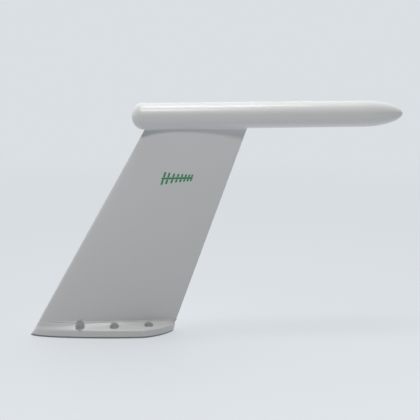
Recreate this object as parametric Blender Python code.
"""Airborne blade antenna: a swept mast on a screw-down plinth carries a round radome
with a yagi array inside it.

Metres, +Z up. The origin is on the underside of the base gasket, midway between the
middle pair of screw holes. +X runs along the radome towards its pointed tail, -Y is
the port side and -X is the leading edge.
"""
import math

import bmesh
import bpy
from mathutils import Matrix, Vector

GAP = 0.0003                      # clearance between pieces that touch

# Mast: straight leading and trailing edges, an airfoil section of constant shape
AXIS_HEIGHT = 0.2567              # radome axis above the mounting plane
LEADING_EDGE_X = -0.0994          # leading edge carried down to the mounting plane
LEADING_EDGE_RUN = 0.5783         # metres aft for each metre up
TRAILING_EDGE_X = 0.0679
TRAILING_EDGE_RUN = 0.3720
THICKNESS_RATIO = 0.108           # full thickness over the chord
THICKEST_AT = 0.345               # fraction of the chord
NOSE_POWER = 0.5
TAIL_POWER = 0.95
TRAILING_EDGE_RATIO = 0.0025      # half the blunt trailing edge's thickness over the chord
WALL_RATIO = 0.0134               # shell wall over the chord
HOLLOW_FROM = 0.022
HOLLOW_TO = 0.90
MAST_STEPS = 22
HOLLOW_STEPS = 14
MAST_TOP_INSIDE = 0.010           # the shells run this close to the radome axis before trimming

# Plinth
GASKET_THICKNESS = 0.0012
GASKET_INSET = 0.0005
PLINTH_BOTTOM = GASKET_THICKNESS + GAP
PLINTH_TOP = 0.0155               # at mid chord; the joint with the mast falls towards the tail
PLINTH_TOP_FALL = 0.0042          # from the leading edge to the trailing edge
PLINTH_TAIL_X = 0.0698
PLINTH_TAIL_RUN = 0.217            # the tail wall leans aft as it rises
PLINTH_HALF_WIDTH = 0.0240
PLINTH_WIDEST_AT = 0.77
PLINTH_STEPS = 24
WALL_TOP = 0.0090
WALL_FOOT = 0.0006                # height of the small chamfer under the wall
WALL_SHOULDER = 0.0008            # height of the one on top of it
PLINTH_LAND = 0.0008              # flat ledge round the foot of the mast
SLOPE_INSET = 0.0018
SLOPE = ((0.02, 0.20), (0.34, 0.36), (0.70, 0.60), (0.94, 0.88), (1.0, 1.0))   # (blend, rise)
TENON_TOP = 0.0300
TENON_FROM = 0.05
TENON_TO = 0.80
SCREW_X = (-0.0402, 0.0, 0.0402)
SCREW_Y = (0.0123, 0.0139, 0.0110)
POCKET_RADIUS = 0.0050
POCKET_FLOOR = 0.0070
POCKET_STRAIGHT_TOP = 0.0162      # above this the pocket's cut into the mast runs out
POCKET_RUN_OUT_TOP = 0.0206
POCKET_RUN_OUT_RADIUS = 0.0030
SCREW_HOLE_RADIUS = 0.0027

# Connector in the underside
CONNECTOR_X = -0.0201
RECESS_RADIUS = 0.0100
RECESS_CEILING = 0.0122
CABLE_BORE_RADIUS = 0.0044
CONNECTOR_MOUTH = 0.0040
FLANGE_HALF = 0.00635
FLANGE_BOTTOM = 0.0090
FLANGE_TOP = 0.0112
BARREL_RADIUS = 0.00318
BARREL_BORE = 0.0023
CONTACT_RADIUS = 0.0007
CONNECTOR_REAR_RADIUS = 0.0038
CONNECTOR_REAR_TOP = 0.0154
FLANGE_SCREW_OFFSET = 0.0043
FLANGE_SCREW_RADIUS = 0.0010
FLANGE_SCREW_TOP = 0.0147
FLANGE_SCREW_HEAD = 0.0016        # below the flange
FLANGE_SCREW_HEAD_RADIUS = 0.0019
INSULATOR_SET_BACK = 0.0018       # behind the connector's mouth
CONTACT_SET_BACK = 0.0006

# Radome
TUBE_RADIUS = 0.0150
TUBE_WALL = 0.0015
NOSE_TIP_X = 0.0261
NOSE_LENGTH = 0.0125
TUBE_FRONT_X = 0.0393
TAIL_JOINT_X = 0.2930
TAIL_TIP_X = 0.3395
TAIL_POWER_ROUND = 0.56
SPIGOT_LENGTH = 0.0060
SPIGOT_RADIUS = TUBE_RADIUS - TUBE_WALL - GAP
SPIGOT_BORE = SPIGOT_RADIUS - TUBE_WALL
ROUND_STEPS = 40
SLOT_FRONT_X = 0.0594
SLOT_REAR_X = 0.1060
SLOT_HALF_WIDTH = 0.0042

# Yagi array, set out in wavelengths from the dipole
WAVELENGTH = 0.0517
DIPOLE_X = 0.0976
ELEMENT_RADIUS = 0.0008
REFLECTOR_LENGTH = 0.0250
REFLECTOR_SPACING = 0.200
DIRECTOR_COUNT = 14
DIRECTOR_FIRST_LENGTH = 0.0224
DIRECTOR_LAST_LENGTH = 0.0200
DIRECTOR_SPACING = (0.075, 0.180, 0.215, 0.250, 0.280, 0.300, 0.315)
DIRECTOR_SPACING_GROWTH = 0.015
DIRECTOR_SPACING_LIMIT = 0.400
BOOM_HALF = 0.0025
BOOM_WALL = 0.0008
BOOM_FRONT_X = 0.0450
BOOM_REAR_X = 0.3230
SUPPORT_X = (0.0520, 0.1425, 0.2075, 0.2645)
SUPPORT_HALF_THICKNESS = 0.0015

# Spar and boom clamp
SPAR_AT = 0.22                    # fraction of the chord
SPAR_HALF_WIDTH = 0.0030
SPAR_HALF_LENGTH = 0.0050
SPAR_BOTTOM = 0.0185
CLAMP_HALF = 0.0080
CLAMP_BOTTOM = -0.0090            # below the radome axis
CLAMP_TOP = 0.0070
CLAMP_SCREW_Y = 0.0054
CLAMP_SCREW_RADIUS = 0.00125
CLAMP_SCREW_HEAD_RADIUS = 0.0022
CLAMP_SCREW_HEAD = 0.0017
CLAMP_SCREW_END = -0.0066

# Feed
CABLE_RADIUS = 0.0018
CABLE_AT = 0.48                   # fraction of the chord
DIPOLE_DROP = 0.0055
DIPOLE_HALF_LENGTH = 0.0114
DIPOLE_BLOCK_BOTTOM = -0.0082
DIPOLE_INNER_END = 0.0008
DIPOLE_HOLE_END = 0.0080
BALUN_RADIUS = 0.0027
BALUN_BORE = 0.0022
BALUN_BOTTOM = -0.0190            # below the radome axis
BALUN_TOP = -0.0092

RIB_HEIGHTS = (0.075, 0.135, 0.195)
RIB_THICKNESS = 0.0025
RIB_FROM = 0.06                   # fractions of the chord
RIB_TO = 0.80
RIB_PASSAGE_BOTTOM = 0.060        # the cutters that clear the ribs run between these heights
RIB_PASSAGE_TOP = 0.205

# Printed emblem, on the port side
EMBLEM_BOTTOM = 0.1790
EMBLEM_TOP = 0.1930
EMBLEM_FROM = 0.38                # fractions of the chord
EMBLEM_TO = 0.66
EMBLEM_FILM = 0.0002

WHITE = (0.80, 0.80, 0.80)
OFF_WHITE = (0.62, 0.60, 0.52)
ALUMINIUM = (0.66, 0.67, 0.68)
STEEL = (0.55, 0.55, 0.56)
BRASS = (0.78, 0.62, 0.30)
COPPER = (0.72, 0.42, 0.26)
PTFE = (0.85, 0.85, 0.82)
RUBBER = (0.035, 0.035, 0.038)
GREEN = (0.05, 0.33, 0.16)
FOAM = (0.78, 0.76, 0.70)


def clear_scene():
    for item in list(bpy.data.objects):
        bpy.data.objects.remove(item, do_unlink=True)


def principled(name, colour, roughness, metallic):
    material = bpy.data.materials.new(name)
    material.use_nodes = True
    shader = material.node_tree.nodes["Principled BSDF"]
    shader.inputs["Base Color"].default_value = (*colour, 1.0)
    shader.inputs["Roughness"].default_value = roughness
    shader.inputs["Metallic"].default_value = metallic
    return material


def add_object(name, mesh, material, smooth_angle=None):
    item = bpy.data.objects.new(name, mesh)
    bpy.context.scene.collection.objects.link(item)
    if material and not mesh.materials:
        mesh.materials.append(material)
    if smooth_angle:
        mesh.shade_smooth()
        mesh.set_sharp_from_angle(angle=math.radians(smooth_angle))
    return item


def mesh_from_rings(name, rings, joined=False):
    """Skin a list of rings. A ring of one point is a pole; joined links last to first."""
    bm = bmesh.new()
    loops = [[bm.verts.new(point) for point in ring] for ring in rings]
    pairs = list(zip(loops, loops[1:]))
    if joined:
        pairs.append((loops[-1], loops[0]))
    for lower, upper in pairs:
        count = max(len(lower), len(upper))
        for i in range(count):
            j = (i + 1) % count
            corners = [lower[i % len(lower)], lower[j % len(lower)],
                       upper[j % len(upper)], upper[i % len(upper)]]
            bm.faces.new(list(dict.fromkeys(corners)))
    if not joined:
        for loop in (loops[0], loops[-1]):
            if len(loop) > 2:
                bm.faces.new(loop)
    bmesh.ops.recalc_face_normals(bm, faces=bm.faces)
    mesh = bpy.data.meshes.new(name)
    bm.to_mesh(mesh)
    bm.free()
    return mesh


def circle_x(x, radius, steps=ROUND_STEPS, z=0.0):
    """A ring around a line along X; a zero radius gives a pole."""
    if radius <= 0.0:
        return [Vector((x, 0.0, z))]
    turn = 2.0 * math.pi / steps
    return [Vector((x, radius * math.cos(i * turn), z + radius * math.sin(i * turn)))
            for i in range(steps)]


def circle_z(z, radius, steps=24):
    turn = 2.0 * math.pi / steps
    return [Vector((radius * math.cos(i * turn), radius * math.sin(i * turn), z))
            for i in range(steps)]


def square_z(z, half, steps=24):
    """A square ring with as many points as a round one, so that the two can be skinned."""
    ring = []
    for point in circle_z(z, 1.0, steps):
        reach = half / max(abs(point.x), abs(point.y))
        ring.append(Vector((point.x * reach, point.y * reach, z)))
    return ring


def cylinder_mesh(name, radius, low, high, steps=16, axis="Z"):
    mesh = mesh_from_rings(name, [circle_z(low, radius, steps), circle_z(high, radius, steps)])
    if axis == "Y":
        mesh.transform(Matrix.Rotation(math.radians(-90.0), 4, "X"))
    return mesh


def box_mesh(name, low, high):
    corners = [[Vector((x, y, z)) for x, y in ((low[0], low[1]), (high[0], low[1]),
                                              (high[0], high[1]), (low[0], high[1]))]
               for z in (low[2], high[2])]
    return mesh_from_rings(name, corners)


def add_cutter(name, mesh, location=(0.0, 0.0, 0.0)):
    cutter = add_object(name, mesh, None)
    cutter.location = location
    cutter.hide_render = True
    cutter.display_type = "WIRE"
    return cutter


def subtract(item, cutter):
    modifier = item.modifiers.new("cut_" + cutter.name, "BOOLEAN")
    modifier.operation = "DIFFERENCE"
    modifier.solver = "EXACT"
    modifier.object = cutter


# Mast outline -----------------------------------------------------------------

def leading_edge_x(z):
    return LEADING_EDGE_X + LEADING_EDGE_RUN * z


def trailing_edge_x(z):
    return TRAILING_EDGE_X + TRAILING_EDGE_RUN * z


def chord(z):
    return trailing_edge_x(z) - leading_edge_x(z)


def half_thickness_ratio(s):
    """Half the airfoil's thickness over its chord, at the fraction s of the chord."""
    nose = (s / THICKEST_AT) ** NOSE_POWER
    tail = ((1.0 - s) / (1.0 - THICKEST_AT)) ** TAIL_POWER
    return 0.5 * THICKNESS_RATIO * nose * tail + TRAILING_EDGE_RATIO * s


def cosine_steps(count, start=0.0, end=1.0):
    return [start + (end - start) * 0.5 * (1.0 - math.cos(math.pi * i / count))
            for i in range(count + 1)]


def hollow_ratio(s):
    return max(half_thickness_ratio(s) - WALL_RATIO, 0.0012)


def on_chord(z, s):
    return leading_edge_x(z) + s * chord(z)


def root_height(s):
    """The plinth's top, where the mast stands on it, at the fraction s of the chord."""
    return PLINTH_TOP + (0.5 - s) * PLINTH_TOP_FALL


def mast_point(s, z, side, ratio):
    return Vector((on_chord(z, s), side * (GAP / 2 + ratio * chord(z)), z))


def mast_half_ring(height, side):
    """Half of the hollow section, at the height that height(s) gives along the chord."""
    outer = [mast_point(s, height(s), side, half_thickness_ratio(s)) for s in cosine_steps(MAST_STEPS)]
    inner = [mast_point(s, height(s), side, hollow_ratio(s))
             for s in cosine_steps(HOLLOW_STEPS, HOLLOW_FROM, HOLLOW_TO)]
    tail, rear, front = [mast_point(s, height(s), side, 0.0) for s in (1.0, HOLLOW_TO, HOLLOW_FROM)]
    return outer + [tail, rear] + inner[::-1] + [front]


def hollow_ring(z, start, end, steps, clearance=GAP):
    """The mast's hollow section, less a clearance, as one full ring."""
    fractions = cosine_steps(steps, start, end)
    near = [Vector((on_chord(z, s), -(hollow_ratio(s) * chord(z) - clearance), z)) for s in fractions]
    far = [Vector((point.x, -point.y, z)) for point in near]
    return near + far[::-1]


def make_mast_shell(name, side, saddle, material):
    rings = [mast_half_ring(lambda s: root_height(s) + GAP, side),
             mast_half_ring(lambda s: AXIS_HEIGHT - MAST_TOP_INSIDE, side)]
    shell = add_object(name, mesh_from_rings(name, rings), material, 30)
    subtract(shell, saddle)
    return shell


def make_ribs(cutters, material):
    for name, z in zip(("mast_rib_lower", "mast_rib_middle", "mast_rib_upper"), RIB_HEIGHTS):
        rings = [hollow_ring(level, RIB_FROM, RIB_TO, 14) for level in (z, z + RIB_THICKNESS)]
        rib = add_object(name, mesh_from_rings(name, rings), material)
        for cutter in cutters:
            subtract(rib, cutter)


def slanted_bar(name, at, half_length, half_width, low, high):
    """A straight bar inside the mast that follows one fraction of the chord."""
    rings = []
    for z in (low, high):
        x = on_chord(z, at)
        rings.append([Vector((x + dx, dy, z)) for dx, dy in
                      ((-half_length, -half_width), (half_length, -half_width),
                       (half_length, half_width), (-half_length, half_width))])
    return mesh_from_rings(name, rings)


def make_spar(material):
    top = AXIS_HEIGHT + CLAMP_BOTTOM - GAP
    mesh = slanted_bar("mast_spar", SPAR_AT, SPAR_HALF_LENGTH, SPAR_HALF_WIDTH, SPAR_BOTTOM, top)
    return add_object("mast_spar", mesh, material)


def make_emblem(material):
    """A thin printed patch that follows the port side's facets."""
    fractions = [s for s in cosine_steps(MAST_STEPS) if EMBLEM_FROM < s < EMBLEM_TO]
    rings = []
    for z in (EMBLEM_BOTTOM, EMBLEM_TOP):
        outer = []
        inner = []
        for s in fractions:
            y = -(GAP / 2 + half_thickness_ratio(s) * chord(z))
            outer.append(Vector((on_chord(z, s), y - GAP - EMBLEM_FILM, z)))
            inner.append(Vector((on_chord(z, s), y - GAP, z)))
        rings.append(outer + inner[::-1])
    return add_object("side_emblem", mesh_from_rings("side_emblem", rings), material)


# Plinth and gasket --------------------------------------------------------------

def plinth_half_width(s):
    """Half the footprint's width at the fraction s of its length."""
    if s < PLINTH_WIDEST_AT:
        return PLINTH_HALF_WIDTH * (1.0 - (1.0 - s / PLINTH_WIDEST_AT) ** 1.5) ** 0.53
    reach = (s - PLINTH_WIDEST_AT) / (1.0 - PLINTH_WIDEST_AT)
    return PLINTH_HALF_WIDTH * max(1.0 - reach ** 1.8, 0.0) ** 0.75


def plinth_ring(level, inset=0.0, blend=0.0, rise=0.0, land=PLINTH_LAND):
    """One ring of the plinth: blend 0 is the footprint and 1 the mast's own section, and
    rise 0 is flat at the level and 1 on the slanted top."""
    near = []
    for s in cosine_steps(PLINTH_STEPS):
        z = level + rise * (root_height(s) - level)
        front = leading_edge_x(z) - GAP
        tail = PLINTH_TAIL_X + PLINTH_TAIL_RUN * z - inset
        rear = (1.0 - blend) * tail + blend * (trailing_edge_x(z) + land)
        flare = max(plinth_half_width(s) - inset, 0.0004)
        blade = half_thickness_ratio(s) * chord(z) + land
        near.append(Vector((front + s * (rear - front), -((1.0 - blend) * flare + blend * blade), z)))
    near[0].y = near[-1].y = 0.0
    far = [Vector((point.x, -point.y, point.z)) for point in near[1:-1]]
    return near + far[::-1]


def tenon_ring(height):
    """The tenon's outline with the same number of points as a plinth ring."""
    near = [mast_point(s, height(s), -1, hollow_ratio(s)) + Vector((0.0, GAP, 0.0))
            for s in cosine_steps(PLINTH_STEPS, TENON_FROM, TENON_TO)]
    near[0].y = near[-1].y = 0.0
    far = [Vector((point.x, -point.y, point.z)) for point in near[1:-1]]
    return near + far[::-1]


def make_plinth(material):
    """A straight wall, a rounded edge, a hollow-ground slope up to the mast, and the tenon."""
    rings = [plinth_ring(PLINTH_BOTTOM, 0.0004), plinth_ring(PLINTH_BOTTOM + WALL_FOOT),
             plinth_ring(WALL_TOP), plinth_ring(WALL_TOP + WALL_SHOULDER, 0.0005)]
    rings += [plinth_ring(WALL_TOP, SLOPE_INSET, blend, rise) for blend, rise in SLOPE]
    rings += [tenon_ring(root_height), tenon_ring(lambda s: TENON_TOP)]
    return add_object("base_plinth", mesh_from_rings("base_plinth", rings), material, 35)


def make_gasket(material):
    rings = [plinth_ring(z, GASKET_INSET) for z in (0.0, GASKET_THICKNESS)]
    return add_object("base_gasket", mesh_from_rings("base_gasket", rings), material)


def screw_places():
    for x, y in zip(SCREW_X, SCREW_Y):
        yield x, -y
        yield x, y


def cut_base(plinth, gasket, mast_shells):
    """Screw holes and pockets, the connector's recess and bore, and the spar's socket."""
    hole = cylinder_mesh("screw_hole", SCREW_HOLE_RADIUS, -0.002, 0.02, 16)
    pocket = mesh_from_rings("screw_pocket", [
        circle_z(POCKET_FLOOR, POCKET_RADIUS), circle_z(POCKET_STRAIGHT_TOP, POCKET_RADIUS),
        circle_z(POCKET_RUN_OUT_TOP, POCKET_RUN_OUT_RADIUS)])
    for index, (x, y) in enumerate(screw_places(), 1):
        hole_cutter = add_cutter(f"cut_screw_hole_{index}", hole, (x, y, 0.0))
        pocket_cutter = add_cutter(f"cut_screw_pocket_{index}", pocket, (x, y, 0.0))
        subtract(plinth, hole_cutter)
        subtract(plinth, pocket_cutter)
        subtract(gasket, hole_cutter)
        if x == SCREW_X[0]:
            subtract(mast_shells[0 if y < 0.0 else 1], pocket_cutter)
    recess = add_cutter("cut_recess", cylinder_mesh("recess", RECESS_RADIUS, -0.002, RECESS_CEILING, 36))
    bore = add_cutter("cut_cable_bore", cylinder_mesh("cable_bore", CABLE_BORE_RADIUS, 0.010, 0.034, 20))
    for cutter in (recess, bore):
        cutter.location.x = CONNECTOR_X
    subtract(plinth, recess)
    subtract(plinth, bore)
    subtract(gasket, recess)
    tapped = cylinder_mesh("tapped_hole", FLANGE_SCREW_RADIUS + GAP, 0.010, FLANGE_SCREW_TOP + GAP, 12)
    for index, (dx, dy) in enumerate(flange_screw_offsets(), 1):
        subtract(plinth, add_cutter(f"cut_tapped_{index}", tapped, (CONNECTOR_X + dx, dy, 0.0)))
    socket = slanted_bar("spar_socket", SPAR_AT, SPAR_HALF_LENGTH + GAP, SPAR_HALF_WIDTH + GAP,
                         SPAR_BOTTOM - GAP, TENON_TOP + 0.004)
    subtract(plinth, add_cutter("cut_spar_socket", socket))


# Connector ----------------------------------------------------------------------

def flange_screw_offsets():
    return [(dx * FLANGE_SCREW_OFFSET, dy * FLANGE_SCREW_OFFSET)
            for dx in (-1, 1) for dy in (-1, 1)]


def make_connector_body(material):
    """A threaded barrel, a square flange and a rear spigot around one through bore."""
    rings = [circle_z(CONNECTOR_MOUTH, BARREL_RADIUS - GAP),
             circle_z(CONNECTOR_MOUTH + GAP, BARREL_RADIUS),
             circle_z(FLANGE_BOTTOM, BARREL_RADIUS), square_z(FLANGE_BOTTOM, FLANGE_HALF),
             square_z(FLANGE_TOP, FLANGE_HALF), circle_z(FLANGE_TOP, CONNECTOR_REAR_RADIUS),
             circle_z(CONNECTOR_REAR_TOP, CONNECTOR_REAR_RADIUS),
             circle_z(CONNECTOR_REAR_TOP, BARREL_BORE), circle_z(CONNECTOR_MOUTH, BARREL_BORE)]
    mesh = mesh_from_rings("connector_body", rings, joined=True)
    return add_object("connector_body", mesh, material, 30)


def make_connector_seal(material):
    low, high = FLANGE_TOP + GAP, RECESS_CEILING - GAP
    hole = CONNECTOR_REAR_RADIUS + GAP
    rings = [square_z(low, FLANGE_HALF), square_z(high, FLANGE_HALF), circle_z(high, hole),
             circle_z(low, hole)]
    mesh = mesh_from_rings("connector_seal", rings, joined=True)
    return add_object("connector_seal", mesh, material)


def make_connector_core(brass, ptfe):
    """The insulator's tube and the contact inside it."""
    low, high = CONNECTOR_MOUTH + INSULATOR_SET_BACK, CONNECTOR_REAR_TOP - 0.0002
    outer, inner = BARREL_BORE - GAP, CONTACT_RADIUS + GAP
    rings = [circle_z(low, outer, 16), circle_z(high, outer, 16), circle_z(high, inner, 16),
             circle_z(low, inner, 16)]
    insulator = add_object("connector_insulator",
                           mesh_from_rings("connector_insulator", rings, joined=True), ptfe, 30)
    pin = cylinder_mesh("connector_contact", CONTACT_RADIUS, CONNECTOR_MOUTH + CONTACT_SET_BACK,
                        CONNECTOR_REAR_TOP, 12)
    return insulator, add_object("connector_contact", pin, brass, 30)


def make_connector(steel, brass, ptfe, rubber):
    body = make_connector_body(steel)
    seal = make_connector_seal(rubber)
    clearance = cylinder_mesh("flange_hole", FLANGE_SCREW_RADIUS + GAP, 0.006, 0.014, 12)
    head_bottom, head_top = FLANGE_BOTTOM - FLANGE_SCREW_HEAD, FLANGE_BOTTOM - GAP
    screw = mesh_from_rings("connector_screw", [
        circle_z(head_bottom, 0.9 * FLANGE_SCREW_HEAD_RADIUS, 16),
        circle_z(head_top, FLANGE_SCREW_HEAD_RADIUS, 16),
        circle_z(head_top, FLANGE_SCREW_RADIUS, 16), circle_z(FLANGE_SCREW_TOP, FLANGE_SCREW_RADIUS, 16)])
    for index, (dx, dy) in enumerate(flange_screw_offsets(), 1):
        place = (CONNECTOR_X + dx, dy, 0.0)
        cutter = add_cutter(f"cut_flange_hole_{index}", clearance, place)
        subtract(body, cutter)
        subtract(seal, cutter)
        add_object(f"connector_screw_{index}", screw, steel, 30).location = place
    for item in (body, seal, *make_connector_core(brass, ptfe)):
        item.location.x = CONNECTOR_X


# Radome ---------------------------------------------------------------------------

def nose_radius(x, wall=0.0):
    """A blunt elliptic nose; wall moves the surface inward."""
    length = NOSE_LENGTH - wall
    reach = min(max((NOSE_TIP_X + NOSE_LENGTH - x) / length, 0.0), 1.0)
    return (TUBE_RADIUS - wall) * math.sqrt(1.0 - reach * reach)


def tail_radius(x, wall=0.0):
    """A long round tail that closes to a blunt point."""
    length = TAIL_TIP_X - TAIL_JOINT_X - 2.0 * wall
    reach = min(max((x - TAIL_JOINT_X) / length, 0.0), 1.0)
    return (TUBE_RADIUS - wall) * (1.0 - reach * reach) ** TAIL_POWER_ROUND


def profile_rings(points):
    return [circle_x(x, radius) for x, radius in points]


def add_turned(name, points, material):
    """A solid turned about the radome's axis from (x, radius) points that start and end on it."""
    item = add_object(name, mesh_from_rings(name, profile_rings(points)), material, 30)
    item.location.z = AXIS_HEIGHT
    return item


def make_radome_tube(material):
    inner = TUBE_RADIUS - TUBE_WALL
    rings = profile_rings([(TUBE_FRONT_X, TUBE_RADIUS), (TAIL_JOINT_X, TUBE_RADIUS),
                           (TAIL_JOINT_X, inner), (TUBE_FRONT_X, inner)])
    tube = add_object("radome_tube", mesh_from_rings("radome_tube", rings, joined=True), material, 30)
    tube.location.z = AXIS_HEIGHT
    slot = box_mesh("radome_slot", (SLOT_FRONT_X, -SLOT_HALF_WIDTH, AXIS_HEIGHT - 0.020),
                    (SLOT_REAR_X, SLOT_HALF_WIDTH, AXIS_HEIGHT - 0.0095))
    subtract(tube, add_cutter("cut_radome_slot", slot))


def make_radome_nose(material):
    """A blunt hollow cap with a spigot that plugs into the tube."""
    end = TUBE_FRONT_X - GAP
    front = NOSE_TIP_X + TUBE_WALL
    outside = [NOSE_TIP_X + NOSE_LENGTH * (1.0 - math.cos(math.radians(a))) for a in range(15, 91, 15)]
    inside = [front + (NOSE_LENGTH - TUBE_WALL) * (1.0 - math.cos(math.radians(a)))
              for a in range(60, 19, -20)]
    points = [(NOSE_TIP_X, 0.0)]
    points += [(x, nose_radius(x)) for x in outside]
    points += [(end, TUBE_RADIUS), (end, SPIGOT_RADIUS), (end + SPIGOT_LENGTH, SPIGOT_RADIUS),
               (end + SPIGOT_LENGTH, SPIGOT_BORE), (NOSE_TIP_X + NOSE_LENGTH - 0.001, SPIGOT_BORE)]
    points += [(x, nose_radius(x, TUBE_WALL)) for x in inside if nose_radius(x, TUBE_WALL) < SPIGOT_BORE]
    points.append((front, 0.0))
    add_turned("radome_nose", points, material)


def make_radome_tail(material):
    """A long hollow cap that closes to a blunt point, with a spigot that plugs into the tube."""
    start = TAIL_JOINT_X + GAP
    span = TAIL_TIP_X - start
    depth = span - 2.0 * TUBE_WALL
    outside = [start + span * math.sin(math.radians(a)) for a in range(80, -1, -10)]
    inside = [start + depth * math.sin(math.radians(a)) for a in range(10, 86, 15)]
    points = [(TAIL_TIP_X, 0.0)]
    points += [(x, tail_radius(x)) for x in outside]
    points += [(start, SPIGOT_RADIUS), (start - SPIGOT_LENGTH, SPIGOT_RADIUS),
               (start - SPIGOT_LENGTH, SPIGOT_BORE), (start + 0.001, SPIGOT_BORE)]
    points += [(x, min(tail_radius(x, TUBE_WALL), SPIGOT_BORE)) for x in inside]
    points.append((start + depth, 0.0))
    add_turned("radome_tail", points, material)


# Yagi array -----------------------------------------------------------------------

def director_places():
    """Distances grow with the director's number, up to a limit."""
    x = DIPOLE_X
    for index in range(DIRECTOR_COUNT):
        if index < len(DIRECTOR_SPACING):
            spacing = DIRECTOR_SPACING[index]
        else:
            extra = index + 1 - len(DIRECTOR_SPACING)
            spacing = min(DIRECTOR_SPACING[-1] + extra * DIRECTOR_SPACING_GROWTH, DIRECTOR_SPACING_LIMIT)
        x += spacing * WAVELENGTH
        share = index / (DIRECTOR_COUNT - 1)
        yield x, DIRECTOR_FIRST_LENGTH + share * (DIRECTOR_LAST_LENGTH - DIRECTOR_FIRST_LENGTH)


def make_boom(material):
    inner = BOOM_HALF - BOOM_WALL
    rings = []
    for x, half in ((BOOM_FRONT_X, BOOM_HALF), (BOOM_REAR_X, BOOM_HALF), (BOOM_REAR_X, inner),
                    (BOOM_FRONT_X, inner)):
        rings.append([Vector((x, dy * half, dz * half)) for dy, dz in ((-1, -1), (1, -1), (1, 1), (-1, 1))])
    boom = add_object("boom", mesh_from_rings("boom", rings, joined=True), material)
    boom.location.z = AXIS_HEIGHT
    return boom


def make_elements(boom, material):
    hole = cylinder_mesh("element_hole", ELEMENT_RADIUS + GAP, -0.006, 0.006, 8, "Y")
    reflector_x = DIPOLE_X - REFLECTOR_SPACING * WAVELENGTH
    rods = [("reflector", reflector_x, REFLECTOR_LENGTH)]
    rods += [(f"director_{index:02d}", x, length)
             for index, (x, length) in enumerate(director_places(), 1)]
    for name, x, length in rods:
        mesh = cylinder_mesh(name, ELEMENT_RADIUS, -length / 2, length / 2, 12, "Y")
        add_object(name, mesh, material, 30).location = (x, 0.0, AXIS_HEIGHT)
        subtract(boom, add_cutter("cut_" + name, hole, (x, 0.0, AXIS_HEIGHT)))


def make_supports(material):
    """Discs with a square hole that centre the boom in the tube."""
    hole = BOOM_HALF + GAP
    for index, x in enumerate(SUPPORT_X, 1):
        ends = (-SUPPORT_HALF_THICKNESS, SUPPORT_HALF_THICKNESS)
        rings = [circle_x(end, SPIGOT_RADIUS, 32) for end in ends]
        for end in reversed(ends):
            rings.append([Vector((end, *(hole * c / max(abs(point.y), abs(point.z)) for c in point.yz)))
                          for point in circle_x(end, 1.0, 32)])
        name = f"boom_support_{index}"
        support = add_object(name, mesh_from_rings(name, rings, joined=True), material, 30)
        support.location = (x, 0.0, AXIS_HEIGHT)


def make_clamp(metal, steel):
    x = on_chord(AXIS_HEIGHT, SPAR_AT)
    channel = box_mesh("boom_channel", (-0.02, -BOOM_HALF - GAP, -BOOM_HALF - GAP),
                       (0.02, BOOM_HALF + GAP, BOOM_HALF + GAP))
    channel_cutter = add_cutter("cut_boom_channel", channel, (x, 0.0, AXIS_HEIGHT))
    hole = cylinder_mesh("clamp_hole", CLAMP_SCREW_RADIUS + GAP, CLAMP_SCREW_END - 0.0004, 0.012, 12)
    halves = (("clamp_lower", CLAMP_BOTTOM, -GAP / 2), ("clamp_upper", GAP / 2, CLAMP_TOP))
    screw = mesh_from_rings("clamp_screw", [
        circle_z(CLAMP_SCREW_END, CLAMP_SCREW_RADIUS, 12), circle_z(CLAMP_TOP + GAP, CLAMP_SCREW_RADIUS, 12),
        circle_z(CLAMP_TOP + GAP, CLAMP_SCREW_HEAD_RADIUS, 12),
        circle_z(CLAMP_TOP + GAP + CLAMP_SCREW_HEAD, CLAMP_SCREW_HEAD_RADIUS, 12)])
    hole_cutters = []
    for index, side in enumerate((-1, 1), 1):
        place = (x, side * CLAMP_SCREW_Y, AXIS_HEIGHT)
        hole_cutters.append(add_cutter(f"cut_clamp_hole_{index}", hole, place))
        add_object(f"clamp_screw_{index}", screw, steel, 30).location = place
    for name, low, high in halves:
        mesh = box_mesh(name, (-CLAMP_HALF, -CLAMP_HALF, low), (CLAMP_HALF, CLAMP_HALF, high))
        half = add_object(name, mesh, metal)
        half.location = (x, 0.0, AXIS_HEIGHT)
        subtract(half, channel_cutter)
        for cutter in hole_cutters:
            subtract(half, cutter)


def make_dipole(metal, ptfe, copper):
    z = AXIS_HEIGHT - DIPOLE_DROP
    block_mesh = box_mesh("dipole_block", (-0.004, -0.005, DIPOLE_BLOCK_BOTTOM),
                          (0.004, 0.005, -BOOM_HALF - GAP))
    block = add_object("dipole_block", block_mesh, ptfe)
    block.location = (DIPOLE_X, 0.0, AXIS_HEIGHT)
    for name, side in (("dipole_arm_port", -1), ("dipole_arm_starboard", 1)):
        ends = sorted((side * DIPOLE_INNER_END, side * DIPOLE_HALF_LENGTH))
        arm = add_object(name, cylinder_mesh(name, ELEMENT_RADIUS, ends[0], ends[1], 12, "Y"), metal, 30)
        arm.location = (DIPOLE_X, 0.0, z)
        ends = sorted((side * (DIPOLE_INNER_END - GAP), side * DIPOLE_HOLE_END))
        hole = cylinder_mesh("hole_" + name, ELEMENT_RADIUS + GAP, ends[0], ends[1], 12, "Y")
        subtract(block, add_cutter("cut_" + name, hole, (DIPOLE_X, 0.0, z)))
    sleeve = [circle_z(level, radius, 20) for level, radius in
              ((BALUN_BOTTOM, BALUN_RADIUS), (BALUN_TOP, BALUN_RADIUS), (BALUN_TOP, BALUN_BORE),
               (BALUN_BOTTOM, BALUN_BORE))]
    balun = add_object("balun_sleeve", mesh_from_rings("balun_sleeve", sleeve, joined=True), copper, 30)
    balun.location = (DIPOLE_X, 0.0, AXIS_HEIGHT)


# Feed cable -----------------------------------------------------------------------

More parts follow.
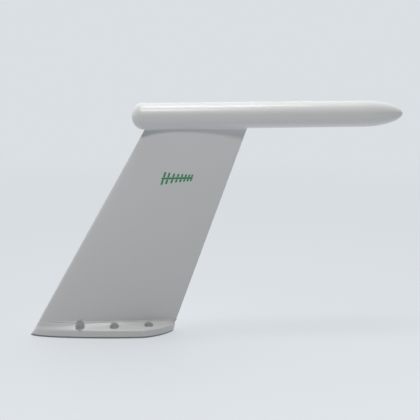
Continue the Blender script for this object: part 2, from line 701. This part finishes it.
def cable_route():
    """From the connector up the plinth's bore and the mast's hollow to the dipole block."""
    route = [Vector((CONNECTOR_X, 0.0, CONNECTOR_REAR_TOP + GAP)), Vector((CONNECTOR_X, 0.0, 0.024)),
             Vector((CONNECTOR_X + 0.001, 0.0, 0.032)),
             Vector((on_chord(0.045, CABLE_AT) - 0.002, 0.0, 0.045))]
    route += [Vector((on_chord(z, CABLE_AT), 0.0, z)) for z in (0.062, 0.135, AXIS_HEIGHT - 0.040)]
    route += [Vector((DIPOLE_X - 0.0012, 0.0, AXIS_HEIGHT - 0.0260)),
              Vector((DIPOLE_X, 0.0, AXIS_HEIGHT - 0.0180)),
              Vector((DIPOLE_X, 0.0, AXIS_HEIGHT + DIPOLE_BLOCK_BOTTOM - GAP))]
    return route


def smooth_route(route, spacing):
    """Catmull-Rom points through a route."""
    points = []
    padded = [route[0] * 2 - route[1]] + route + [route[-1] * 2 - route[-2]]
    for a, b, c, d in zip(padded, padded[1:], padded[2:], padded[3:]):
        count = max(1, round((c - b).length / spacing))
        for i in range(count):
            t = i / count
            points.append(0.5 * (2 * b + (c - a) * t + (2 * a - 5 * b + 4 * c - d) * t ** 2
                                 + (3 * b - a - 3 * c + d) * t ** 3))
    points.append(route[-1])
    return points


def tube_along(name, points, radius, material):
    curve = bpy.data.curves.new(name, "CURVE")
    curve.dimensions = "3D"
    spline = curve.splines.new("POLY")
    spline.points.add(len(points) - 1)
    for slot, point in zip(spline.points, points):
        slot.co = (*point, 1.0)
    curve.bevel_depth = radius
    curve.bevel_resolution = 2
    curve.use_fill_caps = True
    item = bpy.data.objects.new(name, curve)
    bpy.context.scene.collection.objects.link(item)
    if material:
        curve.materials.append(material)
    return item


def cable_passage():
    """The cutter that clears the cable's way through the ribs."""
    return slanted_bar("cable_passage", CABLE_AT, 0.0030, 0.0026, RIB_PASSAGE_BOTTOM, RIB_PASSAGE_TOP)


def main():
    clear_scene()
    radome_paint = principled("radome_white_paint", WHITE, 0.22, 0.0)
    mast_paint = principled("mast_white_paint", WHITE, 0.25, 0.0)
    plinth_paint = principled("plinth_white_paint", WHITE, 0.28, 0.0)
    rubber = principled("gasket_rubber", RUBBER, 0.8, 0.0)
    laminate = principled("rib_laminate", OFF_WHITE, 0.6, 0.0)
    aluminium = principled("inner_aluminium", ALUMINIUM, 0.35, 1.0)
    steel = principled("connector_steel", STEEL, 0.3, 1.0)
    brass = principled("contact_brass", BRASS, 0.25, 1.0)
    copper = principled("cable_copper", COPPER, 0.3, 1.0)
    ptfe = principled("insulator_ptfe", PTFE, 0.45, 0.0)
    foam = principled("support_foam", FOAM, 0.9, 0.0)
    green = principled("emblem_green", GREEN, 0.4, 0.0)

    saddle_mesh = mesh_from_rings("saddle", [circle_x(0.010, TUBE_RADIUS + GAP, 64, AXIS_HEIGHT),
                                             circle_x(0.190, TUBE_RADIUS + GAP, 64, AXIS_HEIGHT)])
    saddle = add_cutter("cut_saddle", saddle_mesh)
    mast_shells = [make_mast_shell(name, side, saddle, mast_paint)
                   for name, side in (("mast_shell_port", -1), ("mast_shell_starboard", 1))]
    make_emblem(green)
    make_spar(aluminium)
    spar_way = add_cutter("cut_spar_way", slanted_bar("spar_way", SPAR_AT, SPAR_HALF_LENGTH + GAP,
                                                      SPAR_HALF_WIDTH + GAP,
                                                      RIB_PASSAGE_BOTTOM, RIB_PASSAGE_TOP))
    make_ribs((spar_way, add_cutter("cut_cable_passage", cable_passage())), laminate)

    plinth = make_plinth(plinth_paint)
    gasket = make_gasket(rubber)
    cut_base(plinth, gasket, mast_shells)
    make_connector(steel, brass, ptfe, rubber)

    make_radome_nose(radome_paint)
    make_radome_tube(radome_paint)
    make_radome_tail(radome_paint)
    boom = make_boom(aluminium)
    make_elements(boom, aluminium)
    make_supports(foam)
    make_clamp(aluminium, steel)
    make_dipole(aluminium, ptfe, copper)
    tube_along("feed_cable", smooth_route(cable_route(), 0.005), CABLE_RADIUS, copper)


main()
